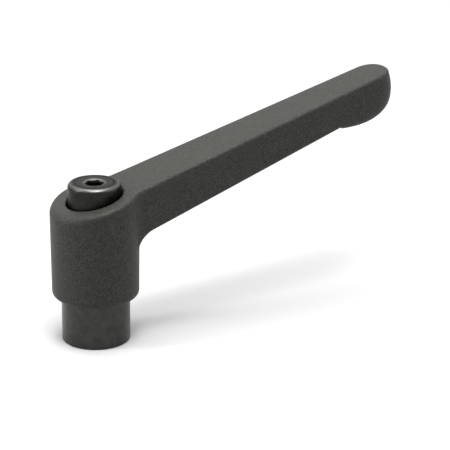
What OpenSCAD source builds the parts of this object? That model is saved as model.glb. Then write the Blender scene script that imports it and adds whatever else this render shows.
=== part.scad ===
// Adjustable clamping lever: a cast handle on a toothed steel insert.
// Origin: centre of the insert's bottom face, +Z up the clamping axis, +X along the arm.

/* [Handle hub] */
// Diameter of the hub at its lower end
hub_d = 25; // [24:0.5:28]
// Draft of the hub wall, which widens upwards, in degrees
hub_draft = 0.6; // [0:0.1:1.5]
// Height of the hub's top face on the clamping axis, above the insert's bottom face
hub_top = 43; // [41:0.5:47]
// Rounding of the hub's lower outer edge
hub_foot_r = 1.7; // [0.5:0.1:2.3]
// Rounding of the handle's upper outer edge
crown_r = 1.15; // [0.5:0.05:1.6]
// Rounding of the same edge at the back of the hub, where it is softest
crown_back_r = 2.6; // [1.6:0.1:3]

/* [Handle arm] */
// Reach of the handle from the clamping axis to its tip
arm_reach = 102.5; // [90:1:125]
// Rise of the arm and of the hub's top face, in degrees
arm_rise = 13.9; // [8:0.5:18]
// Width of the arm where it would meet the clamping axis
arm_w_hub = 18.1; // [14:0.1:19]
// Width of the arm at the tip, before the nose is rounded
arm_w_tip = 12.8; // [9:0.1:16]
// Upright depth of the arm where it would meet the clamping axis
arm_h_hub = 14.8; // [12:0.1:17]
// Upright depth of the arm at the tip, without the thickened end
arm_h_tip = 9.7; // [8:0.1:12]
// Rounding of the arm's lower edges
arm_edge_r = 1.6; // [0.6:0.1:2.4]
// Fillet between the hub and the sides of the arm, in plan
side_fillet = 3.5; // [1.5:0.5:7]
// Fillet between the hub and the underside of the arm
under_fillet = 3.7; // [2:0.1:6]

/* [Handle end] */
// Length of the thickened end, from its notch to the tip
grip_len = 21.2; // [18:0.1:26]
// Length of the rounded sole's curve back from the tip
sole_len = 15.1; // [11:0.1:17]
// Height of the rounded sole's curve
sole_h = 8.5; // [6:0.1:10]
// Fullness of the sole's curve, where 2 is an ellipse
sole_power = 2.28; // [2:0.02:2.6]
// Length of the rounded nose, in plan
nose_len = 7.5; // [4:0.1:8]
// Fullness of the nose in plan, where 2 is an ellipse
nose_power = 2.12; // [2:0.02:2.6]
// How far the nose leans back at the top face
nose_lean = 1.9; // [0:0.1:2.2]

/* [Insert] */
// Diameter of the insert's smooth barrel
insert_d = 19.7; // [18:0.1:20.5]
// Length of the insert that shows below the hub
insert_reach = 13.4; // [11:0.1:15]
// Full length of the insert
insert_len = 28; // [27:0.5:30]
// Bevel of the insert's lower outer edge
insert_bevel = 0.5; // [0.2:0.1:1]
// Diameter of the stud thread's bore at the crests of the thread
stud_bore_d = 10.2; // [8:0.1:12]
// Depth of the stud thread's bore
stud_bore_len = 17; // [12:0.5:17.5]
// Countersink of the bore's mouth
mouth_bevel = 0.6; // [0.3:0.1:1.2]

/* [Teeth] */
// Number of teeth round the insert and in the hub, a multiple of 12
teeth = 24; // [24:12:36]
// Height of the toothed ring
tooth_len = 5; // [3:0.5:6]
// Depth of a tooth
tooth_depth = 1; // [0.6:0.1:1.2]
// Step from the insert's barrel in to the tips of its teeth
tooth_relief = 0.15; // [0.1:0.05:0.4]
// Lift of the handle past the height of the teeth, which frees them
tooth_spare = 0.4; // [0.2:0.1:0.8]

/* [Retaining screw] */
// Diameter of the screw's head
head_d = 15.2; // [14:0.1:16]
// Height of the screw's head
head_h = 8; // [6:0.1:8.4]
// Rounding of the head's upper edge
head_edge_r = 1.4; // [0.6:0.1:1.8]
// Height of the head's top above the hub's top face on the axis
head_proud = 4.4; // [3:0.1:5]
// Hexagon socket across flats
socket_af = 5; // [4:0.5:6]
// Depth of the hexagon socket
socket_depth = 3; // [2:0.1:4]
// Width of the bevel round the socket
socket_bevel = 0.6; // [0.2:0.1:0.9]
// Turn of the socket about the axis, in degrees
socket_turn = 40; // [0:1:59]
// Diameter of the screw's shank
shank_d = 8; // [7:0.1:9]
// Diameter of the screw's thread
screw_thread_d = 6; // [5:0.5:6.5]
// Length of the screw's thread in the insert
screw_thread_len = 6.5; // [4:0.5:7]

/* [Spring] */
// Diameter of the spring's wire
wire_d = 0.8; // [0.6:0.1:1]
// Diameter of the spring at the middle of its wire
coil_d = 12.6; // [11:0.1:13.4]
// Number of turns, with one closed turn at each end
coil_turns = 4; // [3:0.5:4]

/* [Fits] */
// Diameter of the round recess for the head and the spring
recess_d = 17; // [16.6:0.1:18]
// Thickness of the shoulder under the spring
shoulder_h = 1.8; // [1.5:0.1:2.4]
// Gap all round between the insert's barrel and the hub's guide bore
guide_gap = 0.08; // [0.05:0.01:0.15]
// Gap all round between the two rings of teeth
tooth_gap = 0.12; // [0.08:0.01:0.2]
// Gap all round between the screw's shank and the shoulder
shank_gap = 0.3; // [0.2:0.05:0.5]
// Gap at each end of the spring
spring_gap = 0.05; // [0.02:0.01:0.1]

/* [Hidden] */
$fn = 96;
cut = 1; // how far a cutter runs past the face it opens

rise = tan(arm_rise);
draft = tan(hub_draft);
hub_bottom = insert_reach;
stroke = tooth_len + tooth_spare;
shoulder_top = insert_len + shoulder_h;
head_top = hub_top + head_proud;
head_bottom = head_top - head_h;
tooth_r = insert_d / 2 - tooth_relief;

// Height of the inclined top face over the distance x along the arm
function top_z(x) = hub_top + rise * x;
// Radius of the hub's drafted wall at a height
function hub_r(z) = hub_d / 2 + (z - hub_bottom) * draft;

// The arm is laid out on upright cylinders about the clamping axis: a station is a radius r, and a
// point on it is given by its side distance y and its height z.
sink = 0.05; // how far the fillets start inside the hub's wall
root_r = hub_r(hub_top - arm_h_hub) - sink;
arm_taper = (arm_w_hub - arm_w_tip) / 2 / arm_reach;
root_w = arm_w_hub / 2 - arm_taper * root_r;
fillet_reach = root_r + side_fillet;
fillet_x = sqrt(fillet_reach * fillet_reach - (root_w + side_fillet) * (root_w + side_fillet));
fillet_turn = atan2(root_w + side_fillet, fillet_x);
fillet_end = norm([fillet_x, root_w]);
nose_x = arm_reach - nose_len;
notch_x = arm_reach - grip_len;
sole_x = arm_reach - sole_len;

// Height of the arm's plain underside over x
function under_z(x) = top_z(x) - arm_h_hub + (arm_h_hub - arm_h_tip) * x / arm_reach;
// Height of a bow from 1 at its middle to 0 at its end: a quarter ellipse, fuller for a higher power
function bow(u, power = 2) = pow(max(0, 1 - pow(abs(u), power)), 1 / power);
// Height of the centre of the sole's curve, so that the sole starts at the notch
sole_z = under_z(notch_x) + sole_h * bow((sole_x - notch_x) / sole_len, sole_power);
// Half width of the arm at x, before the nose is rounded
function side_w(x) = arm_w_hub / 2 - arm_taper * x;
// Height of the sole of the thickened end, along the middle
function belly_z(x) = sole_z - sole_h * bow((x - sole_x) / sole_len, sole_power);
// Height of the underside at the side distance y: the sole follows the nose's plan round the tip
function low_z(x, y) =
    x < notch_x ? under_z(x)
    : belly_z(min(arm_reach, x + nose_len * (1 - bow(y / side_w(x), nose_power))));
// Drop of the round fillet under the arm at the station r
function fillet_drop(r) =
    let (g = max(0, min(under_fillet, r - root_r)))
    under_fillet * (1 - bow(1 - g / under_fillet));
// Share of the nose's length that lies behind x
function nose_share(x) = max(0, (x - nose_x) / nose_len);
// Half width of the arm at x, with the rounded nose
function half_w(x) = side_w(x) * bow(nose_share(x), nose_power);
// Half width at the station r, with the plan fillet against the hub's wall
function station_w(r) =
    r >= fillet_end ? half_w(r)
    : r * sin(fillet_turn - acos(min(1, (r * r + fillet_reach * fillet_reach - side_fillet * side_fillet)
                                     / (2 * r * fillet_reach))));

corner_steps = 4;
belly_steps = 7; // odd, so that every loop has an even number of points
arm_cap = 3; // height of the blank above the top face, which the crown trims

// One closed loop round the arm at the station r: the flat top, then a side, a round lower corner, the
// belly and the other side, as [y, z]
function arm_loop(r) =
    let (
        w = station_w(r),
        e = arm_edge_r * (1 - pow(nose_share(r), 2)),
        drop = fillet_drop(r),
        x = function(y) sqrt(r * r - y * y),
        low = function(y) low_z(x(y), y) - drop,
        right = concat(
            [[w, top_z(x(w)) + arm_cap]],
            [for (i = [0:corner_steps])
                let (a = 90 * i / corner_steps, y = w - e * (1 - cos(a)))
                [y, low(y) + e * (1 - sin(a))]],
            [for (i = [1:belly_steps - 1])
                let (y = (w - e) * cos(180 * i / belly_steps))
                [y, low(y)]]
        ),
        left = [for (i = [corner_steps:-1:0])
                let (a = 90 * i / corner_steps, y = w - e * (1 - cos(a)))
                [-y, low(y) + e * (1 - sin(a))]]
    )
    concat(right, left, [[-w, top_z(x(w)) + arm_cap]]);

fillet_steps = 8;
sole_steps = 14;
root_depth = 1.2; // how deep the arm starts inside the hub
tip_gap = 0.02; // the last station stops this short of the tip
station_list = concat(
    [root_r - root_depth],
    [for (i = [0:fillet_steps]) root_r + under_fillet * (1 - cos(90 * i / fillet_steps))],
    [(root_r + under_fillet + notch_x) / 2, notch_x],
    [for (i = [1:sole_steps]) notch_x + (grip_len - tip_gap) * sin(90 * i / sole_steps)]
);

// A closed solid through a list of loops with the same number of points each
module skin(loops) {
    n = len(loops[0]);
    m = len(loops);
    points = [for (loop = loops) for (p = loop) p];
    sides = [for (j = [0:m - 2]) for (i = [0:n - 1]) each
        let (a = j * n + i, b = j * n + (i + 1) % n)
        [[a, b, b + n], [a, b + n, a + n]]];
    // An end is closed by a ladder of strips between its two mirrored halves.
    ladder = function(base) [for (i = [0:n / 2 - 2]) each
        let (a = base + i, b = base + n - 1 - i)
        [[a, b, a + 1], [a + 1, b, b - 1]]];
    turned = [for (f = ladder((m - 1) * n)) [f[0], f[2], f[1]]];
    polyhedron(points, concat(sides, ladder(0), turned));
}

// The arm with its fillets and its thickened end, left high above the top face
module arm_blank() {
    skin([for (r = station_list) [for (p = arm_loop(r)) [sqrt(r * r - p.x * p.x), p.x, p.y]]]);
}

// The hub as it would be turned, left high above the top face
module hub_blank() {
    high = top_z(hub_d) + arm_cap;
    rotate_extrude() {
        translate([hub_r(hub_bottom) - hub_foot_r, hub_bottom + hub_foot_r])
            circle(hub_foot_r);
        polygon([
            [0, hub_bottom],
            [hub_r(hub_bottom) - hub_foot_r, hub_bottom],
            [hub_r(hub_bottom + hub_foot_r), hub_bottom + hub_foot_r],
            [hub_r(high), high],
            [0, high]
        ]);
    }
}

crown_gap = 0.02; // the crown's walls stand this far outside the blanks
crown_steps = 5;
lean_steps = 3;
hub_steps = 48;
bend_steps = 5;
nose_steps = 12;
seam = 1; // the plan outline stops this many degrees short of the plane of symmetry
top_r = hub_r(top_z(hub_d / 2 * cos(fillet_turn)) - crown_r);
nose_h = top_z(arm_reach) - sole_z;

// Even steps from one value to another, without the first ones where a stretch goes on from the last
function sweep(from, to, steps, first = 0) = [for (i = [first:steps]) from + (to - from) * i / steps];
// Smooth rise from 0 to 1
function ease(u) = let (v = max(0, min(1, u))) v * v * (3 - 2 * v);
// Radius of the rounded upper edge over x, which grows towards the back of the hub
function crown_at(x) = crown_r + (crown_back_r - crown_r) * ease(-x / top_r);

// Half of the handle's plan outline, from the back of the hub to the tip, as [x, y, crown radius].
// It lies inwards by the share t of that radius, and its nose is shorter by lean.
function plan_half(t, lean) =
    let (
        d = t * crown_r - crown_gap,
        side = root_w + side_fillet,
        reach = top_r + side_fillet,
        cx = sqrt(reach * reach - side * side),
        turn = atan2(side, cx),
        bend = side_fillet + d,
        flat = 2 / nose_power
    )
    concat(
        [for (a = sweep(180 - seam, turn, hub_steps))
            let (x = top_r * cos(a), c = crown_at(x), r = hub_r(top_z(x) - c) + crown_gap - t * c)
            [r * cos(a), r * sin(a), c]],
        [for (a = sweep(180 + turn, 270, bend_steps, 1))
            [cx + bend * cos(a), side + bend * sin(a), crown_r]],
        [for (a = sweep(90, seam, nose_steps))
            [nose_x + (nose_len - lean - d) * pow(max(0, cos(a)), flat),
             (side_w(nose_x) - d) * pow(sin(a), flat), crown_r]]
    );

// One closed loop of the crown, where t is the share of the crown's radius by which it lies inwards,
// k the share by which it lies below the top face, and m runs from 1 at the sole's centre to 0 at the
// crown's start. The nose leans back with the square of the height.
function crown_loop(t, k, m) =
    let (
        up = (1 - m) * (1 - crown_r / nose_h),
        half = plan_half(t, nose_lean * up * up),
        n = len(half),
        z = function(p) top_z(p.x) - k * p.z - m * (nose_h - p.z)
    )
    concat(
        [for (p = half) [p.x, p.y, z(p)]],
        [for (i = [n - 1:-1:0]) [half[i].x, -half[i].y, z(half[i])]]
    );

// Everything under the inclined top face and within the plan outline, with the upper edge rounded
module crown() {
    skin(concat(
        [[for (p = crown_loop(0, 1, 1)) [p.x, p.y, hub_bottom - cut]]],
        [for (m = sweep(1, 0, lean_steps)) crown_loop(0, 1, m)],
        [for (a = sweep(0, 90, crown_steps, 1)) crown_loop(1 - cos(a), 1 - sin(a), 0)]
    ));
}

// A ring of teeth as a flat outline: r is the tip radius of the insert's teeth, and grow is the gap
// that the outline leaves round them
module tooth_outline(grow) {
    tip = 0.17; // half the tip's share of the pitch
    root = 0.33; // half the tip's and both flanks' share of the pitch
    pitch = 360 / teeth;
    lean = grow / tooth_r * 180 / PI;
    polygon([for (i = [0:teeth - 1]) each
        let (mid = i * pitch, high = tooth_r + grow, low = tooth_r - tooth_depth + grow)
        [for (q = [[low, -root], [high, -tip], [high, tip], [low, root]])
            let (a = mid + q[1] * pitch + sign(q[1]) * lean)
            [q[0] * cos(a), q[0] * sin(a)]]]);
}

module handle() {
    color([0.24, 0.25, 0.24])
    difference() {
        intersection() {
            union() {
                hub_blank();
                arm_blank();
            }
            crown();
        }
        // guide bore for the insert's barrel
        translate([0, 0, hub_bottom - cut])
            cylinder(d = insert_d + 2 * guide_gap, h = insert_len - tooth_len - hub_bottom + cut);
        // internal teeth
        translate([0, 0, insert_len - tooth_len - tooth_gap])
            linear_extrude(tooth_len + tooth_gap)
                tooth_outline(tooth_gap);
        // hole for the screw's shank
        translate([0, 0, insert_len - cut])
            cylinder(d = shank_d + 2 * shank_gap, h = shoulder_h + 2 * cut);
        // recess for the spring and the screw's head
        translate([0, 0, shoulder_top])
            cylinder(d = recess_d, h = top_z(hub_d) - shoulder_top);
    }
}

module insert() {
    barrel_top = insert_len - tooth_len;
    drill_r = stud_bore_d / 2;
    drill_half_angle = 59;
    color([0.22, 0.22, 0.22])
    difference() {
        union() {
            rotate_extrude()
                polygon([
                    [0, 0],
                    [insert_d / 2 - insert_bevel, 0],
                    [insert_d / 2, insert_bevel],
                    [insert_d / 2, barrel_top - 2 * tooth_gap],
                    [0, barrel_top - 2 * tooth_gap]
                ]);
            translate([0, 0, barrel_top - 2 * tooth_gap])
                linear_extrude(tooth_len + 2 * tooth_gap)
                    tooth_outline(0);
        }
        // stud bore with its drilled point
        translate([0, 0, -cut])
            cylinder(d = stud_bore_d, h = stud_bore_len + cut);
        translate([0, 0, stud_bore_len])
            cylinder(r1 = drill_r, r2 = 0, h = drill_r / tan(drill_half_angle));
        translate([0, 0, -cut])
            cylinder(r1 = drill_r + mouth_bevel + cut, r2 = drill_r, h = mouth_bevel + cut);
        // hole for the screw's thread
        translate([0, 0, insert_len - screw_thread_len])
            cylinder(d = screw_thread_d, h = screw_thread_len + cut);
    }
}

module retaining_screw() {
    head_r = head_d / 2;
    color([0.3, 0.3, 0.3])
    difference() {
        rotate_extrude() {
            translate([head_r - head_edge_r, head_top - head_edge_r])
                circle(head_edge_r);
            polygon([
                [0, insert_len - screw_thread_len],
                [screw_thread_d / 2, insert_len - screw_thread_len],
                [screw_thread_d / 2, insert_len],
                [shank_d / 2, insert_len],
                [shank_d / 2, head_bottom],
                [head_r, head_bottom],
                [head_r, head_top - head_edge_r],
                [head_r - head_edge_r, head_top],
                [0, head_top]
            ]);
        }
        rotate([0, 0, socket_turn]) {
            translate([0, 0, head_top - socket_depth])
                cylinder(d = socket_af / cos(30), h = socket_depth + cut, $fn = 6);
        }
        translate([0, 0, head_top - socket_bevel])
            cylinder(
                r1 = socket_af / 2,
                r2 = socket_af / 2 / cos(30) + socket_bevel + cut,
                h = socket_bevel + cut
            );
    }
}

wire_sides = 8;
turn_steps = 20;
spring_low = shoulder_top + spring_gap + wire_d / 2;
spring_high = head_bottom - spring_gap - wire_d / 2;

// Height of the wire's middle after t turns: closed end turns, and an even climb between them
function wire_z(t) =
    let (
        active = coil_turns - 2,
        climb = (spring_high - spring_low - 2 * wire_d) / active
    )
    spring_low + wire_d * min(t, 1) + climb * max(0, min(active, t - 1))
        + wire_d * max(0, t - 1 - active);

module spring() {
    steps = coil_turns * turn_steps;
    color([0.55, 0.56, 0.57])
    skin([for (j = [0:steps])
        let (t = j / turn_steps, a = 360 * t)
        [for (i = [0:wire_sides - 1])
            let (b = 360 * (i + 0.5) / wire_sides, r = coil_d / 2 + wire_d / 2 * cos(b))
            [r * cos(a), r * sin(a), wire_z(t) + wire_d / 2 * sin(b)]]]);
}

handle();
insert();
retaining_screw();
spring();
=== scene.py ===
"""Looks of an adjustable clamping lever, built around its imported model.

Lengths in the form classes are millimetres in the lever's own frame: the clamping axis is +Z, the
arm points along +X, and the insert stands on z = 0. They become metres when a mesh is made.
"""

import logging
import math
from abc import ABC, abstractmethod
from dataclasses import dataclass, field
from enum import Enum
from typing import Callable, Sequence

import bmesh
import bpy
import numpy as np
from mathutils import Matrix, Vector


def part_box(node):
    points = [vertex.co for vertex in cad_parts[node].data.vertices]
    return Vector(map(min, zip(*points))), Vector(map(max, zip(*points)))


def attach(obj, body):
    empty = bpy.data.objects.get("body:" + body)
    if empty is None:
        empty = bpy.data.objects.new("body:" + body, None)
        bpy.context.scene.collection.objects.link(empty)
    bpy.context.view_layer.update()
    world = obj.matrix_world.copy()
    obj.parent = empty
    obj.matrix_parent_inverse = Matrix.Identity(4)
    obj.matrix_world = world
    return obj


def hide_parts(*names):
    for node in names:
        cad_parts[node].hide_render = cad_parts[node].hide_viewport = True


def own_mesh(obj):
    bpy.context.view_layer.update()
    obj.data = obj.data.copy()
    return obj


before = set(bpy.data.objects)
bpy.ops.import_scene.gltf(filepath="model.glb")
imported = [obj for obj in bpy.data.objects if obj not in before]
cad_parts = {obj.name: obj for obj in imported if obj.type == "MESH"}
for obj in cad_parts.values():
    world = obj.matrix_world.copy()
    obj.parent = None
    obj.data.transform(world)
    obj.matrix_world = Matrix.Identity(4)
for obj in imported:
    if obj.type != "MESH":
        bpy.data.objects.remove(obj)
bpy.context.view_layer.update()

log = logging.getLogger("clamping_lever")

Array = np.ndarray
Socket = bpy.types.NodeSocket
Pair = tuple[float, float]
Place = tuple[float, float, float]
Colour = tuple[float, float, float]

# A millimetre in metres
MM = 0.001
# Points nearer to each other than this, in metres, become one
MERGE_GAP = 2e-6
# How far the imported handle's faceted tip falls short of its round one, in millimetres
TIP_SHORTFALL = 0.02
# Columns of a full ring, and how many of them make one tooth
RING = 192
TOOTH_COLUMNS = 8
# Keeps a divisor or the base of a power off zero
TINY = 1e-9


def node_box(node: str) -> tuple[Array, Array]:
    """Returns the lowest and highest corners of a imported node, in millimetres."""
    low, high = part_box(node)
    return np.array(low) / MM, np.array(high) / MM


def even(start: float, end: float, steps: int) -> Array:
    """Returns steps + 1 evenly spaced values from start to end."""
    return np.linspace(start, end, steps + 1)


def quarter(u: Array) -> Array:
    """Returns the height of a unit quarter circle over u, which is 1 at u = 0 and 0 from u = 1."""
    return np.sqrt(np.clip(1 - np.square(u), 0, 1))


def bow(u: Array, power: float) -> Array:
    """Returns the height (1 - |u|^p)^(1/p) of a superellipse over u, which is 0 from u = 1."""
    return np.clip(1 - np.abs(u) ** power, 0, 1) ** (1 / power)


def smooth(u: Array) -> Array:
    """Returns the smooth step 3u^2 - 2u^3 of u, held to 0..1."""
    u = np.clip(u, 0, 1)
    return u * u * (3 - 2 * u)


def polar(radius: Array, angle: Array, z: Array) -> Array:
    """Returns points at a radius and an angle about the clamping axis, at the height z."""
    radius, angle, z = np.broadcast_arrays(radius, angle, z)
    return np.stack([radius * np.cos(angle), radius * np.sin(angle), z], axis=-1)


def ring_angles() -> Array:
    """Returns the even angles of a ring, from the back of the hub round by its +y side."""
    return math.pi - np.arange(RING) * 2 * math.pi / RING


def revolve(profile: Sequence[Pair], angle: Array | None = None) -> Array:
    """Returns rings through the points (radius, z) of a profile."""
    angle = ring_angles() if angle is None else angle
    return np.stack([polar(r, angle, z) for r, z in profile])


def mirrored(grid: Array) -> Array:
    """Returns a grid mirrored in the plane of the arm, with its faces still pointing outwards."""
    return (grid * np.array([1, -1, 1]))[:, ::-1]


def tooth_ring(tip: float, depth: float, lean: float = 0.0) -> tuple[Array, Array]:
    """Works out a ring of trapezoid teeth, eight columns to a tooth.

    Args:
        tip: Radius of the tips.
        depth: Depth of a tooth.
        lean: Angle by which the flanks are moved away from the tip, for a gap round it.

    Returns:
        The radius and the angle of each column. A tip and a root each span 0.34 of the pitch.
    """
    middle, root = tip - depth / 2, tip - depth
    radius = np.tile([tip, tip, middle, root, root, root, middle, tip], RING // TOOTH_COLUMNS)
    share = np.array([0, 0.17, 0.25, 0.33, 0.5, 0.67, 0.75, 0.83])
    side = np.array([0, 1, 1, 1, 0, -1, -1, -1])
    pitch = 2 * math.pi * TOOTH_COLUMNS / RING
    start = np.arange(RING // TOOTH_COLUMNS)[:, None] * pitch
    angle = start + share * pitch + side * lean
    return radius, math.pi - angle.ravel()


def helix(
    radius: float, depth: float, pitch: float, low: float, high: float, outward: float
) -> Array:
    """Works out a screw thread as a grid whose rows run along the thread.

    A row has the phase u, and its height is z = pitch (u + turn), held between low and high. The
    surface stands away from the radius by depth times clip((2|u - round(u)| - 1/4) / (5/8), 0, 1),
    which fades out over one pitch at both ends.

    Args:
        radius: Radius of the surface that the thread leaves.
        depth: Depth of the thread.
        pitch: Height of one turn.
        low: Lower end of the thread.
        high: Upper end of the thread.
        outward: 1 where the thread is cut outwards from the radius, -1 where it is cut inwards.

    Returns:
        The grid, whose last column lies on its first.
    """
    crest, flank = 1 / 4, 5 / 8
    corners = np.array([0, 1 / 8, 7 / 16, 9 / 16, 7 / 8])
    turns = np.arange(math.floor(low / pitch) - 2, math.ceil(high / pitch) + 1)
    u = (turns[:, None] + corners).ravel()[:, None]
    turn = np.arange(RING + 1)[None, :] / RING
    z = np.clip(pitch * (u + turn), low, high)
    phase = z / pitch - turn
    share = np.clip((2 * np.abs(phase - np.round(phase)) - crest) / flank, 0, 1)
    fade = smooth((z - low) / pitch) * smooth((high - z) / pitch)
    return polar(radius + outward * depth * share * fade, math.pi + 2 * math.pi * turn, z)


def crease(piece: bpy.types.Object, angle_deg: float) -> None:
    """Marks the edges that turn by more than an angle as sharp, so that shading breaks there."""
    piece.data.set_sharp_from_angle(angle=math.radians(angle_deg))


class Skin:
    """A closed surface, gathered from grids of points whose borders meet."""

    def __init__(self) -> None:
        """Starts an empty surface."""
        self.points: list[Array] = []
        self.faces: list[Array] = []
        self.count = 0

    def add(self, grid: Array, close: bool = False) -> None:
        """Adds a grid of points as quads between its neighbours.

        Args:
            grid: Points of shape (rows, columns, 3), whose rows x columns order faces outwards.
            close: Whether the last column joins the first.
        """
        rows, columns = grid.shape[:2]
        index = np.arange(rows * columns).reshape(rows, columns) + self.count
        if close:
            index = np.concatenate([index, index[:, :1]], axis=1)
        quads = np.stack([index[:-1, :-1], index[:-1, 1:], index[1:, 1:], index[1:, :-1]], axis=-1)
        self.points.append(grid.reshape(-1, 3))
        self.faces.append(quads.reshape(-1, 4))
        self.count += rows * columns

    def object(self, name: str) -> bpy.types.Object:
        """Makes the mesh object, in metres, with its doubled points merged and its faces outwards.

        Args:
            name: Name of the object and of its mesh.

        Returns:
            The object, linked to the scene and shaded smooth.
        """
        mesh = bpy.data.meshes.new(name)
        points = np.concatenate(self.points) * MM
        mesh.from_pydata(points.tolist(), [], np.concatenate(self.faces).tolist())
        work = bmesh.new()
        work.from_mesh(mesh)
        bmesh.ops.remove_doubles(work, verts=work.verts, dist=MERGE_GAP)
        bmesh.ops.dissolve_degenerate(work, edges=work.edges, dist=MERGE_GAP / 4)
        bmesh.ops.recalc_face_normals(work, faces=work.faces)
        open_edges = sum(1 for edge in work.edges if not edge.is_manifold)
        work.to_mesh(mesh)
        work.free()
        mesh.polygons.foreach_set("use_smooth", np.ones(len(mesh.polygons), bool))
        piece = bpy.data.objects.new(name, mesh)
        bpy.context.scene.collection.objects.link(piece)
        log.info("%s: %d faces, %d open edges", name, len(mesh.polygons), open_edges)
        return piece


class Nodes:
    """A node tree, with short calls for making and joining its nodes."""

    def __init__(self, tree: bpy.types.NodeTree) -> None:
        """Keeps the tree."""
        self.tree = tree

    def new(self, kind: str, operation: str | None = None) -> bpy.types.Node:
        """Makes a shader node.

        Args:
            kind: The node's type, without the words that every shader node's type starts with.
            operation: What a math node works out.

        Returns:
            The node.
        """
        node = self.tree.nodes.new("ShaderNode" + kind)
        if operation is not None:
            node.operation = operation
        return node

    def link(self, source: Socket, target: Socket) -> None:
        """Joins two sockets."""
        self.tree.links.new(source, target)

    def math(self, operation: str, a: Socket, b: Socket | float) -> Socket:
        """Works out one value from two.

        Args:
            operation: What a math node does with them.
            a: The first value.
            b: The second value, or a constant.

        Returns:
            The result.
        """
        node = self.new("Math", operation)
        self.link(a, node.inputs[0])
        if isinstance(b, (int, float)):
            node.inputs[1].default_value = b
        else:
            self.link(b, node.inputs[1])
        return node.outputs["Value"]

    def span(self, value: Socket, source: Pair, target: Pair) -> Socket:
        """Carries a value from one range to another, and holds it to that range.

        Args:
            value: The value.
            source: Start and end of the range that it comes from.
            target: Start and end of the range that it goes to.

        Returns:
            The carried value.
        """
        node = self.new("MapRange")
        for key, number in zip(("From Min", "From Max", "To Min", "To Max"), (*source, *target)):
            node.inputs[key].default_value = number
        self.link(value, node.inputs["Value"])
        return node.outputs["Result"]

    def seen(self) -> Socket:
        """Tells what looks at a surface from what it lights: the larger of the three ray marks.

        Returns:
            1 for camera, glossy and transmission rays, and 0 for the rest.
        """
        path = self.new("LightPath")
        value = path.outputs["Is Camera Ray"]
        for name in ("Is Glossy Ray", "Is Transmission Ray"):
            value = self.math("MAXIMUM", value, path.outputs[name])
        return value


class Surface(Nodes):
    """A material's node tree, with its shader and a pattern space in millimetres of the object."""

    def __init__(self, name: str) -> None:
        """Starts a material.

        Args:
            name: Name of the material.
        """
        self.material = bpy.data.materials.new(name)
        self.material.use_nodes = True
        super().__init__(self.material.node_tree)
        self.shader = self.tree.nodes["Principled BSDF"]
        place = self.new("TexCoord")
        scale = self.new("Mapping")
        scale.inputs["Scale"].default_value = (1 / MM, 1 / MM, 1 / MM)
        self.link(place.outputs["Object"], scale.inputs["Vector"])
        self.space = scale.outputs["Vector"]

    def noise(self, size_mm: float, detail: float, rough: float,
              stretch: Place = (1, 1, 1)) -> Socket:
        """Makes a noise field, about 0.5.

        Args:
            size_mm: Size of its features.
            detail: How many finer layers it has.
            rough: Share of each finer layer.
            stretch: Factor on each axis of the pattern space, below 1 for longer features.

        Returns:
            The field's value.
        """
        move = self.new("Mapping")
        move.inputs["Scale"].default_value = stretch
        cloud = self.new("TexNoise")
        cloud.inputs["Scale"].default_value = 1 / size_mm
        cloud.inputs["Detail"].default_value = detail
        cloud.inputs["Roughness"].default_value = rough
        self.link(self.space, move.inputs["Vector"])
        self.link(move.outputs["Vector"], cloud.inputs["Vector"])
        return cloud.outputs["Fac"]

    def ramp(self, value: Socket, places: Pair, colours: tuple[Colour, Colour]) -> Socket:
        """Makes a colour that runs from one to another along a value.

        Args:
            value: The value.
            places: Values at which the run starts and ends.
            colours: The colours there.

        Returns:
            The colour.
        """
        ramp = self.new("ValToRGB")
        for bar, place, colour in zip(ramp.color_ramp.elements, places, colours):
            bar.position = place
            bar.color = (*colour, 1)
        self.link(value, ramp.inputs["Fac"])
        return ramp.outputs["Color"]

    def blend(self, share: Socket, colour: Socket, other: Colour) -> Socket:
        """Carries a colour towards another.

        Args:
            share: How far it goes, from 0 to 1.
            colour: The colour at 0.
            other: The colour at 1.

        Returns:
            The blended colour.
        """
        mix = self.new("Mix")
        mix.data_type = "RGBA"
        ends = [socket for socket in mix.inputs if socket.type == "RGBA"]
        self.link(share, mix.inputs["Factor"])
        self.link(colour, ends[0])
        ends[1].default_value = (*other, 1)
        return next(socket for socket in mix.outputs if socket.type == "RGBA")

    def radius(self) -> Socket:
        """Works out the distance from the clamping axis, the length of x and y.

        Returns:
            The distance in millimetres.
        """
        flat = self.new("VectorMath", "MULTIPLY")
        flat.inputs[1].default_value = (1, 1, 0)
        length = self.new("VectorMath", "LENGTH")
        self.link(self.space, flat.inputs[0])
        self.link(flat.outputs["Vector"], length.inputs[0])
        return length.outputs["Value"]

    def band(self, inner_mm: float, outer_mm: float, low_mm: float, soft_mm: float) -> Socket:
        """Makes a share that is 1 on a ring about the clamping axis, and 0 elsewhere.

        Args:
            inner_mm: Inner radius of the ring.
            outer_mm: Outer radius of the ring.
            low_mm: Height above which the ring shows.
            soft_mm: Half the width over which each border fades.

        Returns:
            The share.
        """
        parts = self.new("SeparateXYZ")
        self.link(self.space, parts.inputs["Vector"])
        radius = self.radius()
        inside = self.span(radius, (inner_mm - soft_mm, inner_mm + soft_mm), (0, 1))
        outside = self.span(radius, (outer_mm - soft_mm, outer_mm + soft_mm), (1, 0))
        above = self.span(parts.outputs["Z"], (low_mm - soft_mm, low_mm + soft_mm), (0, 1))
        return self.math("MULTIPLY", self.math("MULTIPLY", inside, outside), above)

    def relief(self, height: Socket, depth_mm: float, strength: float) -> None:
        """Adds a bump to the shader, over any bump that it has.

        Args:
            height: Height field from 0 to 1.
            depth_mm: Depth of the relief.
            strength: Share of the relief that shows.
        """
        bump = self.new("Bump")
        bump.inputs["Strength"].default_value = strength
        bump.inputs["Distance"].default_value = depth_mm * MM
        self.link(height, bump.inputs["Height"])
        normal = self.shader.inputs["Normal"]
        if normal.is_linked:
            self.link(normal.links[0].from_socket, bump.inputs["Normal"])
        self.link(bump.outputs["Normal"], normal)


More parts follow.
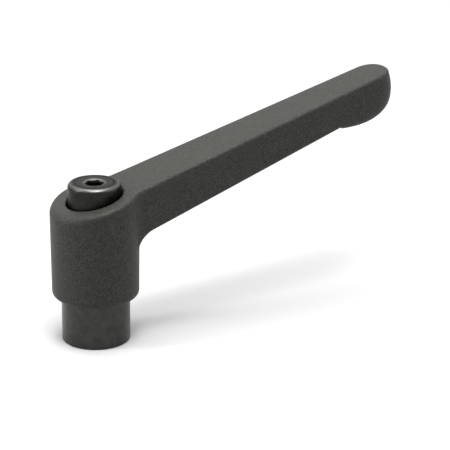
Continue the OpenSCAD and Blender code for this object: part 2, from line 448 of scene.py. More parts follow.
class Finish(ABC):
    """What every finish can do."""

    @abstractmethod
    def material(self) -> bpy.types.Material:
        """Makes the finish's material."""

    def dress(self, piece: bpy.types.Object) -> None:
        """Puts the finish on a piece."""
        piece.data.materials.clear()
        piece.data.materials.append(self.material())


@dataclass(frozen=True)
class PowderCoat(Finish):
    """Fine-grained powder coat over a casting: a matt dark film with small glints."""

    name: str = "fine_powder_coat"
    dark: Colour = (0.031, 0.0328, 0.0275)
    light: Colour = (0.0435, 0.0458, 0.0395)
    grain_mm: float = 0.65
    grain_depth_mm: float = 0.08
    grain_span: Pair = (0.36, 0.66)
    speck_share: float = 0.6
    speck_span: Pair = (0.35, 0.65)
    glint_span: Pair = (0.4, 0.6)
    wave_mm: float = 3.5
    wave_depth_mm: float = 0.05
    roughness: Pair = (0.42, 0.62)
    shine: Pair = (0.1, 0.38)

    def material(self) -> bpy.types.Material:
        """Makes the coat: grain in colour and bump, specks in gloss, over the casting's soft wave.

        Returns:
            The material.
        """
        n = Surface(self.name)
        grain = n.noise(self.grain_mm, detail=3.0, rough=0.6)
        speck = n.noise(self.grain_mm * self.speck_share, detail=1.0, rough=0.5)
        wave = n.noise(self.wave_mm, detail=2.0, rough=0.5)
        colour = n.ramp(grain, self.grain_span, (self.dark, self.light))
        n.link(colour, n.shader.inputs["Base Color"])
        n.link(n.span(speck, self.speck_span, self.roughness), n.shader.inputs["Roughness"])
        n.link(n.span(speck, self.glint_span, self.shine), n.shader.inputs["Specular IOR Level"])
        n.relief(wave, self.wave_depth_mm, strength=0.5)
        n.relief(grain, self.grain_depth_mm, strength=0.9)
        return n.material


@dataclass(frozen=True)
class BlackenedSteel(Finish):
    """Steel with a thin dark oxide: satin, with a faint drift of tone and fine turning marks.

    On rings about the clamping axis, above a height, the steel's colour is painted brighter: partly
    wear, and partly a painted highlight for edges that catch the lamps.
    """

    name: str = "blackened_steel"
    dark: Colour = (0.03, 0.03, 0.029)
    light: Colour = (0.05, 0.05, 0.048)
    roughness: Pair = (0.3, 0.42)
    rough_span: Pair = (0.35, 0.65)
    metallic: float = 0.85
    edge_tint: float = 1.0
    cloud_mm: float = 2.2
    cloud_span: Pair = (0.3, 0.7)
    fine_mm: float = 0.3
    fine_depth_mm: float = 0.004
    turning_mm: float = 0.12
    turning_depth_mm: float = 0.006
    turning_stretch: Place = (0.02, 0.02, 1.0)
    # Brighter colour on rings above a height: partly wear, partly a painted highlight on edges.
    wear_and_highlight: Colour = (0.12, 0.12, 0.115)
    wear_and_highlight_rings: tuple[Pair, ...] = ()
    wear_and_highlight_above: float = 0.0
    wear_and_highlight_soft: float = 0.15

    def material(self) -> bpy.types.Material:
        """Makes the steel: turning marks in bump, clouds in colour and roughness, and brighter rings
        of wear and painted highlight.

        Returns:
            The material.
        """
        n = Surface(self.name)
        cloud = n.noise(self.cloud_mm, detail=3.0, rough=0.6)
        fine = n.noise(self.fine_mm, detail=2.0, rough=0.6)
        turning = n.noise(self.turning_mm, detail=1.0, rough=0.5, stretch=self.turning_stretch)
        colour = n.ramp(cloud, self.cloud_span, (self.dark, self.light))
        # Each ring is painted brighter, partly as wear and partly as a painted highlight.
        for inner, outer in self.wear_and_highlight_rings:
            ring = n.band(inner, outer, self.wear_and_highlight_above, self.wear_and_highlight_soft)
            colour = n.blend(ring, colour, self.wear_and_highlight)
        n.link(colour, n.shader.inputs["Base Color"])
        n.shader.inputs["Specular Tint"].default_value = (*[self.edge_tint] * 3, 1)
        mixed = n.math("ADD", n.math("MULTIPLY", cloud, 0.5), n.math("MULTIPLY", fine, 0.5))
        n.link(n.span(mixed, self.rough_span, self.roughness), n.shader.inputs["Roughness"])
        n.shader.inputs["Metallic"].default_value = self.metallic
        n.relief(turning, self.turning_depth_mm, strength=0.5)
        n.relief(fine, self.fine_depth_mm, strength=0.4)
        return n.material


@dataclass(frozen=True)
class SpringWire(Finish):
    """Bright drawn wire with fine marks along its coils."""

    name: str = "drawn_spring_wire"
    dark: Colour = (0.36, 0.36, 0.37)
    light: Colour = (0.52, 0.52, 0.53)
    roughness: Pair = (0.22, 0.4)
    mark_mm: float = 0.1
    mark_depth_mm: float = 0.01
    mark_span: Pair = (0.3, 0.7)
    mark_stretch: Place = (0.1, 0.1, 1.0)

    def material(self) -> bpy.types.Material:
        """Makes the wire: fine bands across the clamping axis in colour, roughness and bump.

        Returns:
            The material.
        """
        n = Surface(self.name)
        drawn = n.noise(self.mark_mm, detail=2.0, rough=0.6, stretch=self.mark_stretch)
        colour = n.ramp(drawn, self.mark_span, (self.dark, self.light))
        n.link(colour, n.shader.inputs["Base Color"])
        n.link(n.span(drawn, self.mark_span, self.roughness), n.shader.inputs["Roughness"])
        n.shader.inputs["Metallic"].default_value = 1.0
        n.relief(drawn, self.mark_depth_mm, strength=0.5)
        return n.material


@dataclass(frozen=True)
class Teeth:
    """The toothed coupling of handle and insert: its teeth, and the gap round them in the handle."""

    length: float = 5.0
    depth: float = 1.0
    relief: float = 0.15
    gap: float = 0.12


@dataclass
class HandleForm:
    """The cast handle: hub, rising arm, thickened end, recess and toothed bore."""

    hub_d: float = 25.0
    hub_draft_deg: float = 0.6
    hub_top: float = 43.0
    hub_foot_r: float = 1.7
    crown_r: float = 1.15
    crown_back_r: float = 1.8
    crown_from: float = 4.0
    crown_over: float = 8.8
    arm_rise_deg: float = 13.9
    arm_w_hub: float = 18.1
    arm_w_tip: float = 12.8
    arm_h_hub: float = 14.8
    arm_h_tip: float = 9.7
    arm_edge_r: float = 1.6
    side_fillet: float = 3.5
    under_fillet: float = 3.7
    wall_blend: float = 5.0
    core_share: float = 0.5
    grip_len: float = 21.2
    sole_len: float = 15.1
    sole_h: float = 8.5
    nose_len: float = 7.5
    nose_lean: float = 1.9
    nose_power: float = 2.12
    sole_power: float = 2.28
    recess_d: float = 16.2
    recess_lip: float = 0.6
    shoulder_h: float = 1.8
    shoulder_ring: float = 1.5
    shank_hole_d: float = 8.6
    hole_bevel: float = 0.4
    root_step: float = 0.2
    bore_gap: float = 0.08
    mouth_bevel: float = 0.5
    teeth: Teeth = Teeth()
    insert_d: float = field(default_factory=lambda: 2 * node_box("insert")[1][0])
    insert_len: float = field(default_factory=lambda: node_box("insert")[1][2])
    hub_bottom: float = field(default_factory=lambda: node_box("handle")[0][2])
    reach: float = field(default_factory=lambda: node_box("handle")[1][0] + TIP_SHORTFALL)
    hub_columns: int = 74
    fillet_columns: int = 8
    arm_columns: int = 90
    nose_columns: int = 26
    belly_columns: int = 44
    top_columns: int = 28
    wall_rows: int = 16
    edge_rows: int = 7
    front_rows: int = 14
    crown_rows: int = 7
    top_rows: int = 6
    lip_rows: int = 5
    recess_rows: int = 8
    bore_rows: int = 4
    foot_rows: int = 8
    crease_deg: float = 40.0

    def __post_init__(self) -> None:
        """Works out the plan of the fillets, the height of the sole and the plan outline."""
        self.root_z = self.hub_top - self.arm_h_hub
        self.root_r = float(self.hub_r(self.root_z))
        self.taper = (self.arm_w_hub - self.arm_w_tip) / 2 / self.reach
        self.root_w = self.arm_w_hub / 2 - self.taper * self.root_r
        reach = self.root_r + self.side_fillet
        side = self.root_w + self.side_fillet
        self.fillet_centre = np.array([math.sqrt(reach**2 - side**2), side])
        self.fillet_turn = math.atan2(side, self.fillet_centre[0])
        self.nose_x = self.reach - self.nose_len
        self.notch_x = self.reach - self.grip_len
        self.sole_x = self.reach - self.sole_len
        notch_rise = bow(np.array((self.sole_x - self.notch_x) / self.sole_len), self.sole_power)
        self.sole_z = float(self.under(np.array(self.notch_x)) + self.sole_h * notch_rise)
        self.nose_h = float(self.top(np.array(self.reach))) - self.sole_z
        self.outline, self.normal = self.plan()

    def top(self, x: Array) -> Array:
        """Returns the height of the inclined top face, hub_top + x tan(arm_rise)."""
        return self.hub_top + math.tan(math.radians(self.arm_rise_deg)) * x

    def crown(self, x: Array) -> Array:
        """Returns the radius of the rounded upper edge, which grows towards the back of the hub."""
        grown = smooth((-x - self.crown_from) / self.crown_over)
        return self.crown_r + (self.crown_back_r - self.crown_r) * grown

    def hub_r(self, z: Array) -> Array:
        """Returns the radius of the hub's wall, which its draft widens evenly with z."""
        return self.hub_d / 2 + (z - self.hub_bottom) * math.tan(math.radians(self.hub_draft_deg))

    def half_w(self, x: Array) -> Array:
        """Returns half the arm's width, which falls evenly with x, before the nose is rounded."""
        return self.arm_w_hub / 2 - self.taper * x

    def under(self, x: Array) -> Array:
        """Returns the arm's plain underside: the top face less a depth that changes evenly."""
        depth = self.arm_h_hub + (self.arm_h_tip - self.arm_h_hub) * x / self.reach
        return self.top(x) - depth

    def belly(self, x: Array, y: Array) -> Array:
        """Works out the height of the arm's lower side.

        It is the plain underside, and past the notch the lower half of a superellipse that follows
        the plan of the nose: x is pushed forward by as much as the nose's outline lies back at that
        y. Near the hub it drops by a quarter circle of the distance to the hub's wall.

        Args:
            x: Places along the arm.
            y: Places across it.

        Returns:
            The height at each place.
        """
        lag = self.nose_len * (1 - bow(y / self.half_w(x), self.nose_power))
        ahead = np.minimum(x + lag, self.reach)
        sole_bow = bow((ahead - self.sole_x) / self.sole_len, self.sole_power)
        plain = np.where(x < self.notch_x, self.under(x), self.sole_z - self.sole_h * sole_bow)
        gap = np.clip((np.hypot(x, y) - self.root_r) / self.under_fillet, 0, 1)
        return plain - self.under_fillet * (1 - quarter(1 - gap))

    def nose_share(self, x: Array) -> Array:
        """Returns the share of the nose's length that lies behind x, held to 0..1."""
        return np.clip((x - self.nose_x) / self.nose_len, 0, 1)

    def edge_radius(self, x: Array) -> Array:
        """Returns the rounding of the arm's lower edge over x, which runs out towards the tip."""
        return self.arm_edge_r * (1 - self.nose_share(x) ** 2)

    def near_hub(self, x: Array, y: Array) -> Array:
        """Returns 1 on the hub's wall, falling smoothly to 0 at wall_blend away from it."""
        return 1 - smooth((np.hypot(x, y) - self.root_r) / self.wall_blend)

    def leaned(self, up: Array) -> Array:
        """Works out the arm's plan outline where the nose leans back.

        Every x of the nose moves back by nose_lean up^2 times its share of the nose's length.

        Args:
            up: How far up the nose the outline lies: 0 at the wall's lower edge, 1 at the top face.

        Returns:
            The outline as x and y, for each value of up.
        """
        x, y = self.outline[:, 0], self.outline[:, 1]
        back = self.nose_lean * up**2 * self.nose_share(x)
        return np.stack(np.broadcast_arrays(x - back, y), axis=-1)

    def drafted(self, x: Array, y: Array, z: Array) -> Array:
        """Moves points outwards by the hub's draft, as far as they are near its wall.

        The shift is the wall's radius at z less its radius at the arm's root.

        Args:
            x: Places along the arm.
            y: Places across it.
            z: Heights.

        Returns:
            The moved points.
        """
        r = np.hypot(x, y)
        outer = r > self.core_share * self.root_r
        shift = (self.hub_r(z) - self.root_r) * self.near_hub(x, y) * outer
        grow = 1 + shift / np.maximum(r, TINY)
        return np.stack(np.broadcast_arrays(x * grow, y * grow, z), axis=-1)

    def plan(self) -> tuple[Array, Array]:
        """Works out half the plan of the handle, from the back of the hub to the tip.

        It runs along the hub's circle, the hollow arc of the side fillet, the arm's straight side
        and the half superellipse of the nose, x = nose_x + a cos(c)^(2/p) and y = b sin(c)^(2/p).

        Returns:
            The points of the outline, and its outward normals.
        """
        a = even(math.pi, self.fillet_turn, self.hub_columns)
        hub = np.stack([np.cos(a), np.sin(a)], axis=-1)
        b = even(math.pi + self.fillet_turn, 1.5 * math.pi, self.fillet_columns)[1:]
        bend = np.stack([np.cos(b), np.sin(b)], axis=-1)
        start = self.fillet_centre[0]
        x = start + (self.nose_x - start) * even(0, 1, self.arm_columns)[1:]
        side = np.stack([x, self.half_w(x)], axis=-1)
        across = np.array([self.taper, 1.0]) / math.hypot(self.taper, 1.0)
        c = even(math.pi / 2, 0, self.nose_columns)[1:]
        half_w = float(self.half_w(np.array(self.nose_x)))
        power = 2 / self.nose_power
        cos, sin = np.maximum(np.cos(c), TINY), np.maximum(np.sin(c), TINY)
        nose = np.stack([self.nose_x + self.nose_len * cos**power, half_w * sin**power], axis=-1)
        nose[-1, 1] = 0
        slope = (cos ** (2 - power) / self.nose_len, sin ** (2 - power) / half_w)
        lean = np.stack(slope, axis=-1)
        lean /= np.linalg.norm(lean, axis=-1, keepdims=True)
        points = np.concatenate([
            hub * self.root_r, self.fillet_centre + bend * self.side_fillet, side, nose])
        normals = np.concatenate([hub, -bend, np.tile(across, (len(x), 1)), lean])
        return points, normals

    def inset(self, points: Array, normals: Array, distance: Array) -> Array:
        """Moves outline points inwards for a rounded lower edge.

        Away from the hub a point moves against its normal; on the hub's wall it moves round the
        wall instead, so that the edge runs out on it.

        Args:
            points: Points of the outline.
            normals: Their outward normals.
            distance: How far each moves.

        Returns:
            The moved points.
        """
        r = np.linalg.norm(points, axis=-1)
        turn = np.arctan2(points[..., 1], points[..., 0]) - distance / r
        round_wall = np.stack([r * np.cos(turn), r * np.sin(turn)], axis=-1)
        straight = points - normals * distance[..., None]
        share = self.near_hub(points[..., 0], points[..., 1])[..., None]
        return straight * (1 - share) + round_wall * share

    def lower_edge(self) -> Array:
        """Works out the rounded lower edge of one side of the arm, as a quarter circle.

        Returns:
            The grid: rows down the edge, columns from the hub to the tip.
        """
        first = self.hub_columns
        p, n = self.outline[first:], self.normal[first:]
        a = even(0, math.pi / 2, self.edge_rows)[:, None]
        radius = self.edge_radius(p[:, 0])
        q = self.inset(p[None], n[None], radius * (1 - np.cos(a)))
        x, y = q[..., 0], np.maximum(q[..., 1], 0)
        z = self.belly(x, y) + radius * (1 - np.sin(a))
        return self.drafted(x, y, z)

    def crown_start(self) -> Array:
        """Works out the line where the side wall ends and the crown's rounding begins.

        Returns:
            Its points, one for each point of the plan outline.
        """
        radius = self.crown(self.outline[:, 0])
        plan = self.leaned(np.array(1 - self.crown_r / self.nose_h))
        line = self.drafted(plan[:, 0], plan[:, 1], self.top(plan[:, 0]) - radius)
        line[:, 2] = self.top(line[:, 0]) - radius
        return line

    def side_wall(self, crown: Array, edge: Array) -> Array:
        """Works out the upright side of the arm.

        Heights fall evenly from the crown to the lower edge, and the nose leans back as they rise.

        Args:
            crown: The line where the crown begins, on which the wall starts.
            edge: The lower edge, on whose first row the wall ends.

        Returns:
            The grid: rows down the wall, columns from the hub to the tip.
        """
        first = self.hub_columns
        t = even(0, 1, self.wall_rows)[:, None]
        z = crown[first:, 2] * (1 - t) + edge[0, :, 2] * t
        plan = self.leaned((1 - t) * (1 - self.crown_r / self.nose_h))[:, first:]
        wall = self.drafted(plan[..., 0], plan[..., 1], z)
        return np.concatenate([crown[None, first:], wall[1:-1], edge[:1]])

    def hub_wall(self, crown: Array, wall: Array, edge: Array) -> Array:
        """Works out half of the hub's wall, from its back to the arm.

        Each row runs round the wall to a point of the arm's root: down the side, round the lower
        edge and straight down to the hub's foot. Heights fall in the same shares at every angle.

        Args:
            crown: The line where the crown begins.
            wall: The arm's side.
            edge: The arm's lower edge.

        Returns:
            The grid: rows down the wall, columns from the back of the hub to the arm.
        """
        low = self.hub_bottom + self.hub_foot_r
        root = np.concatenate([wall[:, 0], edge[1:, 0]])
        last = root[-1]
        z_down = last[2] + (low - last[2]) * even(0, 1, self.front_rows)[1:]
        angle_down = np.full(len(z_down), math.atan2(last[1], last[0]))
        angles = np.concatenate([np.arctan2(root[:, 1], root[:, 0]), angle_down])
        heights = np.concatenate([root[:, 2], z_down])
        share = (heights[0] - heights) / (heights[0] - low)
        along = even(0, 1, self.hub_columns)[None, :]
        angle = math.pi + along * (angles[:, None] - math.pi)
        z_top = crown[:self.hub_columns + 1, 2][None, :]
        z = z_top - share[:, None] * (z_top - low)
        return polar(self.hub_r(z), angle, z)

    def belly_grid(self) -> Array:
        """Works out the arm's lower side between its two rounded edges.

        Each line across starts and ends on an edge. Near the hub it bends with the hub's wall, by
        how far a circle through both its ends stands ahead of the straight line.

        Returns:
            The grid: rows from the hub to the tip, columns across the arm.
        """
        first = self.hub_columns
        p, n = self.outline[first:], self.normal[first:]
        q = self.inset(p, n, self.edge_radius(p[:, 0]))
        x_edge, y_edge = q[:, :1], np.maximum(q[:, 1:], 0)
        y = y_edge * even(1, -1, self.belly_columns)[None, :]
        r = np.hypot(x_edge, y_edge)
        bulge = np.sqrt(r * r - y * y) - np.sqrt(r * r - y_edge * y_edge)
        x = x_edge + bulge * self.near_hub(x_edge, y_edge)
        return self.drafted(x, y, self.belly(x, y))

    def hub_front(self, belly: Array) -> Array:
        """Works out the hub's wall under the arm, with heights that fall evenly to the foot.

        Args:
            belly: The arm's lower side, on whose first row the wall starts.

        Returns:
            The grid: rows from the fillet down to the hub's foot, columns round the wall.
        """
        low = self.hub_bottom + self.hub_foot_r
        start = belly[0]
        t = even(0, 1, self.front_rows)[:, None]
        z = start[None, :, 2] * (1 - t) + low * t
        angle = np.arctan2(start[:, 1], start[:, 0])[None, :]
        return polar(self.hub_r(z), angle, z)

    def crown_edge(self, crown: Array) -> Array:
        """Works out the rounded upper edge: a quarter circle in from the wall and up to the top.

        Args:
            crown: The line where it begins.

        Returns:
            The grid: rows up the rounding, columns along the outline.
        """
        t = even(0, math.pi / 2, self.crown_rows)[:, None]
        radius = self.crown(self.outline[None, :, 0])
        flat = crown[None, :, :2] - self.normal[None] * (radius * (1 - np.cos(t)))[..., None]
        z = self.top(flat[..., 0]) - radius * (1 - np.sin(t))
        return np.concatenate([flat, z[..., None]], axis=-1)

    def top_faces(self, edge: Array) -> list[Array]:
        """Works out the flat grids of the top face, whose rows lie evenly between its borders.

        Args:
            edge: The line where the crown ends on the top face.

        Returns:
            Both sides of the recess, the stretch before it, and the arm.
        """
        ring = polar(self.recess_d / 2 + self.recess_lip, ring_angles(), 0)
        ring[:, 2] = self.top(ring[:, 0])
        near = self.hub_columns + self.fillet_columns
        t = even(0, 1, self.top_rows)[:, None, None]
        side = edge[None, :near + 1] * (1 - t) + ring[None, :near + 1] * t
        side[..., 2] = self.top(side[..., 0])
        v = even(1, -1, self.top_columns)[None, :, None]
        half = edge[near:]
        size = (len(half), self.top_columns + 1, 1)
        across = np.concatenate([
            np.broadcast_to(half[:, None, :1], size),
            half[:, None, 1:2] * v,
            np.broadcast_to(half[:, None, 2:], size)], axis=-1)
        front_ring = ring[near:near + self.top_columns + 1]
        front = across[0][None] * (1 - t) + front_ring[None] * t
        front[..., 2] = self.top(front[..., 0])
        return [side, mirrored(side), front, across]

    def inside(self) -> Array:
        """Works out the inner wall, from the recess's lip down to the hub's bottom face.

        The lip is a quarter circle under the inclined top face. Below it follow the recess, the
        shoulder under the spring, the hole for the shank, the teeth and the guide bore.

        Returns:
            The grid, as rings from the top down.
        """
        angle = ring_angles()
        flat = np.ones(RING)
        lip, recess_r, hole_r = self.recess_lip, self.recess_d / 2, self.shank_hole_d / 2
        shoulder = self.insert_len + self.shoulder_h
        tip = self.insert_d / 2 - self.teeth.relief + self.teeth.gap
        teeth, tooth_angle = tooth_ring(tip, self.teeth.depth, self.teeth.gap / tip)
        bore_r = self.insert_d / 2 + self.bore_gap
        bore_top = self.insert_len - self.teeth.length
        rows = []
        for t in even(0, math.pi / 2, self.lip_rows):
            r = recess_r + lip * (1 - math.sin(t))
            rows.append((r * flat, self.top(r * np.cos(angle)) - lip * (1 - math.cos(t))))
        lip_z = rows[-1][1]
        for t in even(0, 1, self.recess_rows)[1:]:
            rows.append((recess_r * flat, lip_z + (shoulder - lip_z) * t))
        rows += [(r * flat, shoulder * flat)
                 for r in (recess_r - self.shoulder_ring, hole_r + self.hole_bevel)]
        rows += [(hole_r * flat, z * flat) for z in (shoulder - self.hole_bevel, self.insert_len)]
        rows += [((tip - self.teeth.depth - self.root_step) * flat, self.insert_len * flat)]
        upper = [polar(r, angle, z) for r, z in rows]
        toothed = [polar(teeth, tooth_angle, z)
                   for z in even(self.insert_len, bore_top, self.bore_rows)]
        lower = [polar(bore_r, angle, z)
                 for z in even(bore_top, self.hub_bottom + self.mouth_bevel, self.bore_rows)]
        mouth = polar(bore_r + self.mouth_bevel, angle, self.hub_bottom)
        return np.stack([*upper, *toothed, *lower, mouth])

    def foot(self, wall: Array, front: Array) -> Array:
        """Works out the rounded lower edge of the hub, a quarter circle.

        Args:
            wall: The hub's wall from its back to the arm, whose last row the foot starts on.
            front: The hub's wall under the arm.

        Returns:
            The grid, as rings that end on the bottom face.
        """
        rim = np.concatenate([wall[-1, :-1], front[-1, :-1], mirrored(wall)[-1, :-1]])
        angle = np.arctan2(rim[:, 1], rim[:, 0])
        start_r = float(self.hub_r(self.hub_bottom + self.hub_foot_r))
        t = even(0, math.pi / 2, self.foot_rows)[:, None]
        r = start_r - self.hub_foot_r * (1 - np.cos(t))
        z = self.hub_bottom + self.hub_foot_r * (1 - np.sin(t))
        return polar(r, angle[None, :], z)

    def skin(self) -> Skin:
        """Gathers the grids of the handle.

        Returns:
            The closed surface.
        """
        crown = self.crown_start()
        edge = self.lower_edge()
        side = self.side_wall(crown, edge)
        hub = self.hub_wall(crown, side, edge)
        belly = self.belly_grid()
        front = self.hub_front(belly)
        upper = self.crown_edge(crown)
        inside = self.inside()
        foot = self.foot(hub, front)
        skin = Skin()
        for grid in (side, edge, hub, upper):
            skin.add(grid)
            skin.add(mirrored(grid))
        for grid in (belly, front, *self.top_faces(upper[-1])):
            skin.add(grid)
        for grid in (inside, foot, np.stack([foot[-1], inside[-1]])):
            skin.add(grid, close=True)
        return skin

    def build(self, coat: Finish) -> bpy.types.Object:
        """Makes the handle's piece.

        Args:
            coat: The finish that it gets.

        Returns:
            The piece, coated and riding on its body.
        """
        piece = self.skin().object("cast_handle")
        crease(piece, self.crease_deg)
        coat.dress(piece)
        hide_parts("handle")
        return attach(piece, "handle")


@dataclass
class InsertForm:
    """The steel insert: barrel, toothed ring, and a threaded bore that opens downwards."""

    foot_r: float = 0.5
    barrel_bevel: float = 0.1
    stud_bore_d: float = 10.2
    stud_thread_depth: float = 0.88
    stud_pitch: float = 1.75
    stud_bore_len: float = 17.0
    drill_half_angle_deg: float = 59.0
    mouth_bevel: float = 0.6
    teeth: Teeth = Teeth()
    tooth_bevel: float = 0.15
    top_step: float = 0.4
    screw_hole_d: float = 6.0
    screw_hole_len: float = 6.5
    screw_hole_bevel: float = 0.3
    foot_rows: int = 5
    barrel_rows: int = 10
    tooth_rows: int = 4
    crease_deg: float = 25.0
    barrel_d: float = field(default_factory=lambda: 2 * node_box("insert")[1][0])
    length: float = field(default_factory=lambda: node_box("insert")[1][2])

    def outside(self) -> Array:
        """Works out the surface from the mouth of the bore round the barrel to the top hole.

        Returns:
            The grid, as rings: the rounded foot, the barrel, the teeth and the hole for the screw.
        """
        r, f, top = self.barrel_d / 2, self.foot_r, self.length
        bore_r = self.stud_bore_d / 2
        profile = [(bore_r, self.mouth_bevel), (bore_r + self.mouth_bevel, 0)]
        profile += [(r - f + f * math.sin(a), f - f * math.cos(a))
                    for a in even(0, math.pi / 2, self.foot_rows)]
        barrel_top = top - self.teeth.length - 2 * self.teeth.gap
        profile += [(r, z) for z in even(f, barrel_top - self.barrel_bevel, self.barrel_rows)[1:]]
        profile += [(r - self.barrel_bevel, barrel_top)]
        tip = r - self.teeth.relief
        radius, angle = tooth_ring(tip, self.teeth.depth)
        toothed = [polar(radius, angle, z)
                   for z in even(barrel_top, top - self.tooth_bevel, self.tooth_rows)]
        toothed += [polar(radius - self.tooth_bevel, angle, top)]
        hole_r, hole_z, b = self.screw_hole_d / 2, top - self.screw_hole_len, self.screw_hole_bevel
        inner = [(tip - self.teeth.depth - self.top_step, top), (hole_r + b, top)]
        inner += [(hole_r, top - b), (hole_r, hole_z), (hole_r / 2, hole_z), (0, hole_z)]
        return np.concatenate([revolve(profile), np.stack(toothed), revolve(inner)])

    def bore(self) -> tuple[Array, Array]:
        """Works out the bore for the stud.

        Returns:
            The grid of its thread, and the rings of the drilled point above it.
        """
        r, top = self.stud_bore_d / 2, self.stud_bore_len
        point = top + r / math.tan(math.radians(self.drill_half_angle_deg))
        thread = helix(r, self.stud_thread_depth, self.stud_pitch, self.mouth_bevel, top, 1)
        return thread, revolve([(r, top), (r / 2, (top + point) / 2), (0, point)])

    def build(self, steel: Finish) -> bpy.types.Object:
        """Makes the insert's piece.

        Args:
            steel: The finish that it gets.

        Returns:
            The piece, dressed and riding on its body.
        """
        thread, point = self.bore()
        skin = Skin()
        skin.add(self.outside(), close=True)
        skin.add(thread)
        skin.add(point, close=True)
        piece = skin.object("toothed_insert")
        crease(piece, self.crease_deg)
        steel.dress(piece)
        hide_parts("insert")
        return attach(piece, "insert")


@dataclass
class ScrewForm:
    """The retaining screw: thread, shank and rounded cylinder head with a hexagon socket."""

    head_d: float = 15.2
    head_h: float = 8.0
    head_edge_r: float = 1.4
    head_foot_r: float = 0.3
    socket_af: float = 5.0
    socket_depth: float = 3.0
    socket_bevel: float = 0.4
    bevel_slope: float = 2.2
    socket_turn_deg: float = 40.0
    rim_flat: float = 0.12
    rim_round: Pair = (0.04, 0.03)
    rim_drop: float = 0.09
    wall_round: Pair = (0.03, 0.05)
    wall_shares: tuple[float, ...] = (0.3, 0.6, 0.97)
    floor_round: float = 0.08
    floor_dish: Pair = (0.1, 0.25)
    shank_d: float = 8.0
    shank_bevel: float = 0.3
    thread_d: float = 6.0
    thread_depth: float = 0.61
    thread_pitch: float = 1.0
    thread_len: float = 6.5
    thread_bevel: float = 0.5
    low: float = field(default_factory=lambda: node_box("retaining_screw")[0][2])
    top: float = field(default_factory=lambda: node_box("retaining_screw")[1][2])
    side_rows: int = 6
    foot_rows: int = 4
    edge_rows: int = 12
    top_rows: int = 4
    crease_deg: float = 25.0

    def __post_init__(self) -> None:
        """Works out where the thread ends and how wide the socket's bevel is."""
        self.seat = self.low + self.thread_len
        self.rim_r = self.socket_af / 2 + self.socket_bevel * self.bevel_slope

    def angles(self) -> Array:
        """Returns ring angles with a column on each corner of the socket."""
        return ring_angles() + math.radians(self.socket_turn_deg)

    def hexagon(self, angle: Array) -> Array:
        """Works out the socket's wall: half its width over the cosine from the nearest flat.

        Args:
            angle: Angles about the clamping axis.

        Returns:
            The radius of the wall at each of them.
        """
        sixth = math.pi / 3
        turn = np.mod(angle - math.radians(self.socket_turn_deg), sixth) - sixth / 2
        return self.socket_af / 2 / np.cos(turn)

    def body(self) -> Array:
        """Works out the surface from the thread's upper end to the rim of the socket's bevel.

        Returns:
            The grid, as rings, of which the last ones, on the flat top, are turned with the socket.
        """
        head_r, e, f = self.head_d / 2, self.head_edge_r, self.head_foot_r
        shank_r, b = self.shank_d / 2, self.shank_bevel
        seat, under, top, rim = self.seat, self.top - self.head_h, self.top, self.rim_r
        profile = [(self.thread_d / 2, seat), (shank_r - b, seat), (shank_r, seat + b)]
        profile += [(shank_r, z) for z in even(seat + b, under - b, self.side_rows)[1:]]
        profile += [(shank_r + b, under)]
        profile += [(head_r - f + f * math.sin(a), under + f - f * math.cos(a))
                    for a in even(0, math.pi / 2, self.foot_rows)]
        profile += [(head_r, z) for z in even(under + f, top - e, self.side_rows)[1:-1]]
        profile += [(head_r - e + e * math.cos(a), top - e + e * math.sin(a))
                    for a in even(0, math.pi / 2, self.edge_rows)]
        flat = [(r, top) for r in even(head_r - e, rim + self.rim_flat, self.top_rows)[1:]]
        flat += [(rim + self.rim_round[0], top - self.rim_round[1]), (rim, top - self.rim_drop)]
        return np.concatenate([revolve(profile), revolve(flat, self.angles())])

    def socket(self) -> Array:
        """Works out the conical bevel, the six walls and the dished floor of the socket.

        The bevel's cone meets the hexagon at a height that rises with the wall's radius, by one
        part in bevel_slope, so that it dips at the flats.

        Returns:
            The grid, as rings from the rim to the middle of the floor.
        """
        angle = self.angles()
        wall = self.hexagon(angle)
        edge = self.top - self.socket_bevel + (wall - self.socket_af / 2) / self.bevel_slope
        floor = self.top - self.socket_depth
        out, down = self.wall_round
        half_dish, dish = self.floor_dish
        rows = [polar(self.rim_r, angle, self.top - self.rim_drop)]
        rows += [polar(wall + out, angle, edge), polar(wall, angle, edge - down)]
        rows += [polar(wall, angle, edge + (floor - edge) * t) for t in self.wall_shares]
        rows += [polar(wall - self.floor_round, angle, floor)]
        rows += [polar(wall / 2, angle, floor - half_dish), polar(0, angle, floor - dish)]
        return np.stack(rows)

    def build(self, steel: Finish) -> bpy.types.Object:
        """Makes the screw's piece.

        Args:
            steel: The finish that it gets.

        Returns:
            The piece, dressed and riding with the insert.
        """
        r, b, low = self.thread_d / 2, self.thread_bevel, self.low
        skin = Skin()
        skin.add(helix(r, self.thread_depth, self.thread_pitch, low + b, self.seat, -1))
        skin.add(revolve([(0, low), (r - b, low), (r, low + b)]), close=True)
        skin.add(self.body(), close=True)
        skin.add(self.socket(), close=True)
        piece = skin.object("retaining_cap_screw")
        crease(piece, self.crease_deg)
        steel.dress(piece)
        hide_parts("retaining_screw")
        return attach(piece, "insert")


